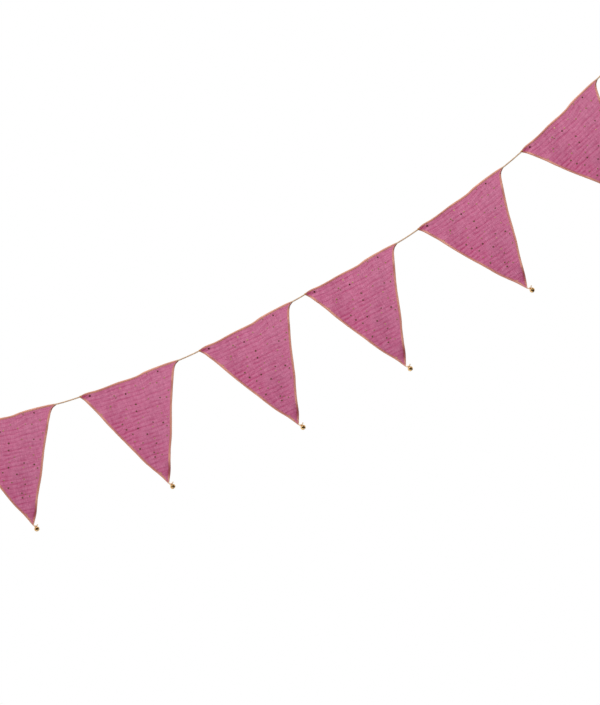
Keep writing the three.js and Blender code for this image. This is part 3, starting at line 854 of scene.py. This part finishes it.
# Crinkle of the gauze: "strong" and "weak" are how deep the hollows and those between them are, as
# middle, swing, least, most and the length of a swing. The two values of calmAt, gain and waver
# belong together: the hollows are deeper and straighter towards the left corner
crinkleSet = {
    "pitch": 0.0079,
    "deep": 0.00062,
    "narrow": 0.0019,
    "narrowBetween": 0.0012,
    "strong": (0.62, 0.26, 0.42, 1, 0.022),
    "weak": (0.36, 0.26, 0.14, 0.62, 0.018),
    "calmAt": (0.04, 0.12),
    "gain": (1.26, 0.86),
    "waver": (0.0006, 0.0015),
    "waverCell": (0.013, 0.011),
    "drift": 0.0030,
    "driftCell": (0.050, 0.040),
    "driftBetween": 0.0012,
    "betweenCell": (0.022, 0.020),
    "rest": 0.3,
    "fine": 0.00012,
    "fineCell": (0.0044, 0.0030),
    # Painted shade of the crinkle: toneRest is its resting level, toneFine its fine part, edgeTone its plain
    # level at the edges
    "toneRest": 0.08,
    "toneFine": 0.22,
    "edgeFade": 0.005,
    "edgeTone": 0.36,
    "seed": 7,
}


def hollowsAt(level, narrow):
    # Thin hollows one pitch apart: exp(-(distance to the nearest line / narrow) squared)
    pitch = crinkleSet["pitch"]
    return np.exp(-(np.sin(np.pi * level / pitch) * pitch / np.pi / narrow) ** 2)


def hollowDepth(kind, x, level, seed):
    # Along its length: middle + swing x noise, kept between the least and the most
    middle, swing, least, most, long = crinkleSet[kind]
    return np.clip(middle + swing * softNoise(x, level, long, crinkleSet["pitch"], seed), least, most)


def crinkle(x, down):
    # Wandering hollows level with the top edge and weaker ones between them, each fading in and out
    # along its length, and a fine crepe. Gives the relief (back is plus) and a painted shade, deepest in the
    # hollows
    seed, calmAt = crinkleSet["seed"], crinkleSet["calmAt"]
    topLine = edgeLine("top", np.clip(x / clothSet["width"], 0, 1))[..., 1]
    level = down - topLine * np.clip(1 - down / clothSet["length"], 0, 1) ** 2
    level = level + crinkleSet["drift"] * softNoise(x, down, *crinkleSet["driftCell"], seed)
    waver = np.interp(x, calmAt, crinkleSet["waver"])
    level = level + waver * softNoise(x, down, *crinkleSet["waverCell"], seed + 1)
    drift = crinkleSet["driftBetween"] * softNoise(x, down, *crinkleSet["betweenCell"], seed + 6)
    between = level + crinkleSet["pitch"] / 2 + drift
    strong = hollowDepth("strong", x, level, seed + 2) * np.interp(x, calmAt, crinkleSet["gain"])
    weak = hollowDepth("weak", x, level, seed + 5)
    hollow = np.maximum(strong * hollowsAt(level, crinkleSet["narrow"]),
                        weak * hollowsAt(between, crinkleSet["narrowBetween"]))
    fine = softNoise(x, level, *crinkleSet["fineCell"], seed + 3)
    relief = crinkleSet["deep"] * (hollow - crinkleSet["rest"]) + crinkleSet["fine"] * fine
    return relief, np.clip(crinkleSet["toneRest"] + hollow + crinkleSet["toneFine"] * fine, 0, 1)


def clothPoint(row, x, down):
    # The folds' depth plus the crinkle, and the crinkle's painted shade, both plain at the cloth's edges
    relief, paintedShade = crinkle(x, down)
    fade = nearEdge(x, down)
    toned = paintedShade * fade + crinkleSet["edgeTone"] * (1 - fade)
    return clothDepth(np.stack([x, down], -1), row) + relief * fade, toned


def clothEdge(name, share):
    # The edging's middle line, between the two shares of its length that the cloth reaches
    middle, along = edgingPath(name)[0], runLength(edgingPath(name)[0])
    low, high = clothSet["reach"][name]
    at = (low + (high - low) * share) * along[-1]
    return np.stack([np.interp(at, along, middle[:, k]) for k in (0, 1)], -1)


def nearEdge(x, down):
    # 0 on the cloth's edges, rising smoothly to 1 where the nearest one is edgeFade away
    share = np.linspace(0, 1, clothSet["edgeSteps"])
    left, right, top = (clothEdge(name, share) for name in ("left", "right", "top"))
    fromLeft = x - np.interp(down, left[:, 1], left[:, 0])
    fromRight = np.interp(down, right[:, 1], right[:, 0]) - x
    fromTop = down - np.interp(x, top[:, 0], top[:, 1])
    return softStep(np.minimum(np.minimum(fromLeft, fromRight), fromTop) / crinkleSet["edgeFade"])


def paintedShadePatches(point):
    # Painted shade in soft oval patches, painted light where the amount is minus:
    # amount x exp(-(along / long) squared - (across / wide) squared)
    total = np.zeros(point.shape[:-1])
    for x, down, long, wide, turn, amount in clothSet["shades"]:
        c, s = np.cos(np.radians(turn)), np.sin(np.radians(turn))
        dx, dy = point[..., 0] - x, point[..., 1] - down
        total += amount * np.exp(-((dx * c + dy * s) / long) ** 2 - ((dy * c - dx * s) / wide) ** 2)
    return total


def makePennant(row):
    # Straight across from edge to edge. The top edge's waves fade out slowly on the way down, and
    # what parts the ends of the top row from the side edges fades out quickly
    across = np.linspace(0, 1, clothSet["columns"] + 1)
    down = np.linspace(0, 1, clothSet["rows"] + 1)
    left, right, top = clothEdge("left", down), clothEdge("right", down), clothEdge("top", across)
    topLine = top[:1] + across[:, None] * (top[-1:] - top[:1])
    sideLine = left[:1] + across[:, None] * (right[:1] - left[:1])
    rest = (1 - down)[:, None, None]
    point = left[:, None] + across[:, None] * (right - left)[:, None]
    point = point + (top - topLine) * rest ** clothSet["waveFade"]
    point = point + (topLine - sideLine) * rest ** clothSet["cornerFade"]
    depth, paintedShade = clothPoint(row, point[..., 0], point[..., 1])
    # Painted shade under the top edging and in soft patches, added to the crinkle's painted shade
    below, reach, amount = clothSet["underTop"]
    underTop = amount * np.exp(-((down * clothSet["length"] - below) / reach) ** 2)
    shade = underTop[:, None] + paintedShadePatches(point)
    paintedShade = np.clip((paintedShade + shade) * clothSet["toneScale"], 0, 1)
    front = placed(row, point[..., 0], point[..., 1], depth - clothSet["thick"] / 2)
    back = placed(row, point[..., 0], point[..., 1], depth + clothSet["thick"] / 2)
    part = {
        "grid": np.concatenate([front[:, ::-1], back], 1),
        "map": np.concatenate([point[:, ::-1], point + np.array([clothSet["backMap"], 0])], 1),
        "around": True,
        "ends": "strip",
        "values": {"paintedShade": np.concatenate([paintedShade[:, ::-1], paintedShade], 1)},
    }
    number = row["pennant"]
    return finishPiece(newMesh(f"gauzePennant{number}", [part], [gauze]), "gauze", f"pennant_{number}")


# Foil dots: a small repeat, charted in millimetres across and down from the left corner,
# with how large and how bright each one is, from 0 to 9. They are on the front of the cloth alone
dotSet = {
    # The brightness column is a painted reflection of the room, dark or light by the way each dot faces
    "chart": [
        (132, 0, 6, 4), (153, 2, 7, 0), (15, 4, 9, 0), (74, 9, 6, 9), (104, 14, 5, 5), (161, 18, 6, 8),
        (59, 19, 7, 5), (132, 19, 5, 6), (88, 22, 6, 8), (144, 22, 6, 4), (81, 23, 8, 0), (61, 24, 5, 2),
        (116, 24, 6, 8), (46, 36, 8, 5), (43, 41, 4, 7), (161, 43, 6, 5), (25, 45, 7, 8), (119, 46, 5, 6),
        (93, 48, 9, 1), (73, 51, 5, 5), (141, 51, 6, 1), (153, 54, 7, 4), (90, 61, 7, 1), (131, 65, 5, 6),
        (66, 67, 7, 7), (56, 76, 7, 2), (98, 76, 4, 6), (134, 80, 5, 5), (86, 83, 4, 6), (60, 88, 8, 1),
        (142, 90, 4, 5), (113, 91, 6, 1), (82, 93, 8, 1), (131, 98, 8, 1), (110, 99, 4, 8), (69, 100, 7, 2),
        (136, 106, 6, 3), (95, 109, 7, 1), (68, 115, 6, 6), (106, 121, 6, 5), (82, 122, 6, 4),
        (130, 124, 6, 4), (73, 131, 8, 1), (106, 131, 6, 1), (96, 146, 7, 2), (102, 150, 5, 4),
        (95, 155, 7, 1), (109, 155, 5, 3), (79, 166, 7, 5), (95, 188, 7, 8),
    ],
    "toneSteps": 9,
    "radius": 0.0020,
    "smallest": 0.35,
    "growth": 1 / 14,
    "ragged": (1.08, 0.24),
    "rings": (0.9, 1.0, 0.75, 0.35),
    "lifts": (-0.00012, 0.000048, 0.00006, 0.000066),
    "sides": 12,
    "seed": 21,
}


def makeDots(row):
    # Each dot is a low dome on the cloth, in rings from below its rim to near its middle:
    # radius x ring x (smallest + growth x large) x a ragged outline
    random = np.random.default_rng(dotSet["seed"])
    angle = 2 * np.pi * np.arange(dotSet["sides"]) / dotSet["sides"]
    rings, lifts = np.array(dotSet["rings"])[:, None], np.array(dotSet["lifts"])[:, None]
    most, swing = dotSet["ragged"]
    parts = []
    for x, down, large, tone in dotSet["chart"]:
        size = dotSet["radius"] * (dotSet["smallest"] + large * dotSet["growth"])
        size = size * (most - swing * random.random(dotSet["sides"]))
        px = x * mm + rings * size * np.cos(angle)
        pd = down * mm - rings * size * np.sin(angle)
        depth, _ = clothPoint(row, px, pd)
        grid = placed(row, px, pd, depth - clothSet["thick"] / 2 - lifts)
        parts.append({"grid": grid, "map": np.stack([px, pd], -1), "around": True, "ends": "fan",
                      "values": {"tone": tone / dotSet["toneSteps"]}})
    number = row["pennant"]
    return finishPiece(newMesh(f"foilDots{number}", parts, [goldFoil]), "gold_thread", f"pennant_{number}")


# Bell, from its own middle with its own up as z. Its middle and that up are in the pennant's frame
bellSet = {
    "radius": 0.0050,
    "wall": 0.00035,
    "at": (0.1083, 0.2191),
    "up": (-0.25, 0.4, 0.88),
    "back": 0.0034,
    "seamHigh": 0.0004,
    "seamOut": 0.00025,
    "seamSteps": 5,
    "domeFrom": 0.10,
    "domeSteps": 10,
    "pole": 1e-5,
    "slitWide": 0.0010,
    "slitTop": -0.0012,
    "slitFrom": 0.02,
    "quarterSteps": 9,
    "eyeletRadius": 0.0013,
    "eyeletWire": 0.0008,
    "eyeletHigh": 0.0056,
    "eyeletSteps": 48,
    "eyeletSides": 12,
    "pellet": 0.0017,
    "pelletAt": (0.0006, -0.0008, -0.0024),
    "pelletPole": 0.15,
    "pelletSteps": (9, 16),
}


def bellPlace(row):
    # The turn that takes z to the bell's own up, that up, and the bell's middle
    up = np.array(bellSet["up"]) / np.linalg.norm(bellSet["up"])
    axis = np.cross([0, 0, 1], up)
    cross = np.array([[0, -axis[2], axis[1]], [axis[2], 0, -axis[0]], [-axis[1], axis[0], 0]])
    depth = clothDepth(np.array(outlineSet["tip"]), row) - bellSet["back"]
    middle = np.array([bellSet["at"][0], depth, -bellSet["at"][1]])
    return np.eye(3) + cross + cross @ cross / (1 + up[2]), up, middle


def onBell(row, part):
    # A part made about the bell's middle, turned to its up and put in its place on the garland
    turn, _, middle = bellPlace(row)
    points = part["grid"].reshape(-1, 3) @ turn.T + middle
    return {**part, "grid": turnedUp(points, row["slope"], row["place"]).reshape(part["grid"].shape)}


def lathe(radii, heights, azimuths):
    # A profile turned about z: (radius cos azimuth, radius sin azimuth, height)
    radii, heights = np.array(radii)[:, None], np.array(heights)[:, None]
    grid = np.broadcast_arrays(radii * np.cos(azimuths), radii * np.sin(azimuths), heights)
    flat = np.broadcast_arrays(azimuths * bellSet["radius"], heights)
    return {"grid": np.stack(grid, -1), "map": np.stack(flat, -1), "around": True}


def closeSeams(obj):
    # Joins the parts' shared rims, then turns every face outwards
    work = bmesh.new()
    work.from_mesh(obj.data)
    bmesh.ops.remove_doubles(work, verts=work.verts, dist=2 * bellSet["pole"])
    bmesh.ops.recalc_face_normals(work, faces=work.faces)
    work.to_mesh(obj.data)
    work.free()


def makeShell(row):
    # The wall above the slits is turned on a profile. Below, each quarter is lines from a point
    # beside the pole to the slits' top circle, z = -sqrt(radius squared - x squared - y squared)
    radius, half, slitTop = bellSet["radius"], bellSet["slitWide"] / 2, bellSet["slitTop"]
    endWide = np.sqrt(radius ** 2 - slitTop ** 2)
    start = np.arcsin(half / endWide)
    quarter = np.linspace(start, np.pi / 2 - start, bellSet["quarterSteps"])
    azimuths = np.concatenate([quarter + k * np.pi / 2 for k in range(4)])
    rise = np.linspace(bellSet["domeFrom"], np.pi / 2, bellSet["domeSteps"])[:-1]
    seamTurn = np.linspace(-np.pi / 2, np.pi / 2, bellSet["seamSteps"])
    seamWide = radius + bellSet["seamOut"] * np.cos(seamTurn)
    seamHigh = bellSet["seamHigh"] * np.sin(seamTurn)
    wall = lathe(np.concatenate([[endWide], seamWide, radius * np.cos(rise)]),
                 np.concatenate([[slitTop], seamHigh, radius * np.sin(rise)]), azimuths)
    cap = lathe([radius * np.cos(rise[-1]), bellSet["pole"]], [radius * np.sin(rise[-1]), radius], azimuths)
    parts = [wall, cap]
    share = np.linspace(bellSet["slitFrom"], 1, bellSet["quarterSteps"])[:, None, None]
    for k in range(4):
        c, s = np.cos(k * np.pi / 2), np.sin(k * np.pi / 2)
        inner = np.array([half * (c - s), half * (s + c)])
        outer = endWide * np.stack([np.cos(quarter + k * np.pi / 2), np.sin(quarter + k * np.pi / 2)], -1)
        flat = inner * (1 - share) + share * outer
        grid = np.concatenate([flat, -np.sqrt(radius ** 2 - (flat ** 2).sum(-1, keepdims=True))], -1)
        parts.append({"grid": grid, "map": flat})
    shell = newMesh(f"bellShell{row['pennant']}", [onBell(row, part) for part in parts], [brass, bellInside])
    closeSeams(shell)
    wallThick = shell.modifiers.new("wall", "SOLIDIFY")
    wallThick.thickness = bellSet["wall"]
    wallThick.offset = -1.0
    wallThick.material_offset = 1
    finishPiece(shell, "brass", f"bell_{row['pennant']}")


def makeEyelet(row):
    # The wire eyelet on the crown, a ring (radius cos t, 0, high + radius sin t), and the pellet inside
    t = np.linspace(0, 2 * np.pi, bellSet["eyeletSteps"], endpoint=False)
    ring = np.stack([np.cos(t), 0 * t, np.sin(t)], -1) * bellSet["eyeletRadius"]
    plain = twisted(bellSet["eyeletWire"], 1.0, 0.0)
    wire = sweep(ring + [0, 0, bellSet["eyeletHigh"]], plain, bellSet["eyeletSides"], ring=True)
    polar = np.linspace(-1, 1, bellSet["pelletSteps"][0]) * (np.pi / 2 - bellSet["pelletPole"])
    azimuths = 2 * np.pi * np.arange(bellSet["pelletSteps"][1]) / bellSet["pelletSteps"][1]
    pellet = lathe(bellSet["pellet"] * np.cos(polar), bellSet["pellet"] * np.sin(polar), azimuths)
    pellet = {**pellet, "grid": pellet["grid"] + np.array(bellSet["pelletAt"]), "ends": "fan", "material": 1}
    parts = [onBell(row, wire), onBell(row, pellet)]
    inner = newMesh(f"bellEyelet{row['pennant']}", parts, [brass, bellInside])
    finishPiece(inner, "brass", f"bell_{row['pennant']}")


# Tie, from the bell's middle: twice round the eyelet, a knot, a run of doubled thread up to the
# pennant's tip inside the edging, and one free tail that spreads towards its cut end
tieSet = {
    "thread": 0.0013,
    "pitch": 0.0016,
    "groove": 0.25,
    "doubled": 0.00195,
    "doubledPitch": 0.0020,
    "fray": 0.9,
    "sides": 8,
    "spacing": 0.00022,
    "loopRadius": 0.0012,
    "loopHigh": 0.0062,
    "loopSway": 0.00035,
    "loopSteps": 72,
    "knotHigh": 0.0066,
    "knotOut": 0.0012,
    "knotSize": (0.00044, 0.00040, 0.00040),
    "knotSteps": 60,
    "sewnUp": 0.002,
    "run": [(-0.0045, 0.0030, 0.0068), (-0.0036, 0.0018, 0.0050)],
    "tail": [(-0.0008, 0.0004, 0.0058), (0.0002, -0.0014, 0.0052), (0.0040, -0.0010, 0.0082)],
}


def makeTie(row):
    turn, up, middle = bellPlace(row)
    thread = twisted(tieSet["thread"], tieSet["pitch"], tieSet["groove"])
    doubled = twisted(tieSet["doubled"], tieSet["doubledPitch"], tieSet["groove"])

    def local(points):
        return turnedUp(points + middle, row["slope"], row["place"])

    def tied(points):
        return local(evenPath(softCorners(np.array(points)), tieSet["spacing"]))

    def frayed(run, angle):
        return thread(run, angle) * (1 + tieSet["fray"] * softStep(run / run[-1]))

    t = np.linspace(0, 4 * np.pi, tieSet["loopSteps"])
    loops = np.stack([tieSet["loopSway"] * np.sin(t / 2), tieSet["loopRadius"] * np.sin(t),
                      tieSet["loopHigh"] + tieSet["loopRadius"] * np.cos(t)], -1)
    knotAt = up * tieSet["knotHigh"] - [0, tieSet["knotOut"], 0]
    tipX, tipDown = outlineSet["tip"]
    tip = np.array([tipX, middle[1] + bellSet["back"], tieSet["sewnUp"] - tipDown]) - middle
    knot = trefoil(tieSet["knotSize"], knotAt, 0.0, tieSet["knotSteps"])
    sides = tieSet["sides"]
    strands = [sweep(local(loops @ turn.T), thread, sides, square=tuple(heading(row["slope"]))),
               sweep(tied([tip, *tieSet["run"], knotAt]), doubled, sides),
               sweep(tied([knotAt, *tieSet["tail"]]), frayed, sides),
               sweep(local(knot), thread, sides, ring=True)]
    tie = newMesh(f"bellTie{row['pennant']}", strands, [tieThread])
    finishPiece(tie, "gold_thread", f"bell_tie_{row['pennant']}")


for row in spanSet["rows"]:
    trims = [makeEdging(row, name) for name in edges]
    pennant = makePennant(row)
    dots = makeDots(row)
    makeShell(row)
    makeEyelet(row)
    makeTie(row)

# Studio: white all round but for a dark part of the room low in front, one large soft light, and a
# pale floor well below
studioSet = {
    "floor": -1.42,
    "floorRadius": 0.80,
    "floorThick": 0.01,
    "floorRings": (0.05, 0.5, 1.0),
    "floorSides": 96,
    "floorFinish": {"colour": (0.85, 0.85, 0.84, 1), "roughness": 0.9},
    "skyStrength": 1.0,
    "dark": (0.50, -0.66, -0.56),
    "darkEdge": (0.14, 0.34),
    "darkShade": (0.040, 0.022, 0.012, 1.0),
    "keyAt": (-0.7, -3.2, 1.5),
    "keySize": 1.6,
    "keyPower": 88.6,
}


def makeRoom(scene):
    # What the camera sees past the object is white. The light and reflections have the dark part
    world = bpy.data.worlds.new("studio")
    world.use_nodes = True
    scene.world = world
    tree = world.node_tree
    nodes, links = tree.nodes, tree.links
    seen, cast = nodes["Background"], nodes.new("ShaderNodeBackground")
    seen.inputs["Color"].default_value = (1, 1, 1, 1)
    coordinates, facing = nodes.new("ShaderNodeTexCoord"), nodes.new("ShaderNodeVectorMath")
    facing.operation = "DOT_PRODUCT"
    facing.inputs[1].default_value = np.array(studioSet["dark"]) / np.linalg.norm(studioSet["dark"])
    links.new(coordinates.outputs["Generated"], facing.inputs[0])
    (near, far), shade = studioSet["darkEdge"], studioSet["darkShade"]
    sky = ramp(tree, facing.outputs["Value"], (near, (1, 1, 1, 1)), (far, shade))
    links.new(sky, cast.inputs["Color"])
    cast.inputs["Strength"].default_value = studioSet["skyStrength"]
    path, mixed = nodes.new("ShaderNodeLightPath"), nodes.new("ShaderNodeMixShader")
    links.new(path.outputs["Is Camera Ray"], mixed.inputs[0])
    links.new(cast.outputs[0], mixed.inputs[1])
    links.new(seen.outputs[0], mixed.inputs[2])
    links.new(mixed.outputs[0], nodes["World Output"].inputs["Surface"])


def makeKey(scene):
    light = bpy.data.lights.new("key", "AREA")
    light.size = studioSet["keySize"]
    light.energy = studioSet["keyPower"]
    key = bpy.data.objects.new("key", light)
    key.location = studioSet["keyAt"]
    aim = Vector((cameraSet["centre"][0], 0, cameraSet["centre"][1])) - key.location
    key.rotation_euler = aim.to_track_quat("-Z", "Y").to_euler()
    scene.collection.objects.link(key)


def makeFloor():
    # A closed round slab with flat faces, its upper one at the floor's height
    pale = plainMaterial("paleFloor", studioSet["floorFinish"])
    angle = 2 * np.pi * np.arange(studioSet["floorSides"]) / studioSet["floorSides"]
    rings = np.array(studioSet["floorRings"])
    rings = np.concatenate([rings, rings[::-1]])[:, None] * studioSet["floorRadius"]
    lower = np.repeat([0, 1], len(rings) // 2)[:, None] * studioSet["floorThick"]
    x, y = cameraSet["centre"][0] + rings * np.sin(angle), rings * np.cos(angle)
    grid = np.stack(np.broadcast_arrays(x, y, studioSet["floor"] - lower), -1)
    floor = newMesh("floor", [{"grid": grid, "map": grid[..., :2], "around": True, "ends": "fan"}], [pale])
    floor.data.polygons.foreach_set("use_smooth", np.zeros(len(floor.data.polygons), bool))


studio = bpy.context.scene
studio.view_settings.view_transform = "Standard"
makeRoom(studio)
makeKey(studio)
makeFloor()
print("studio made")
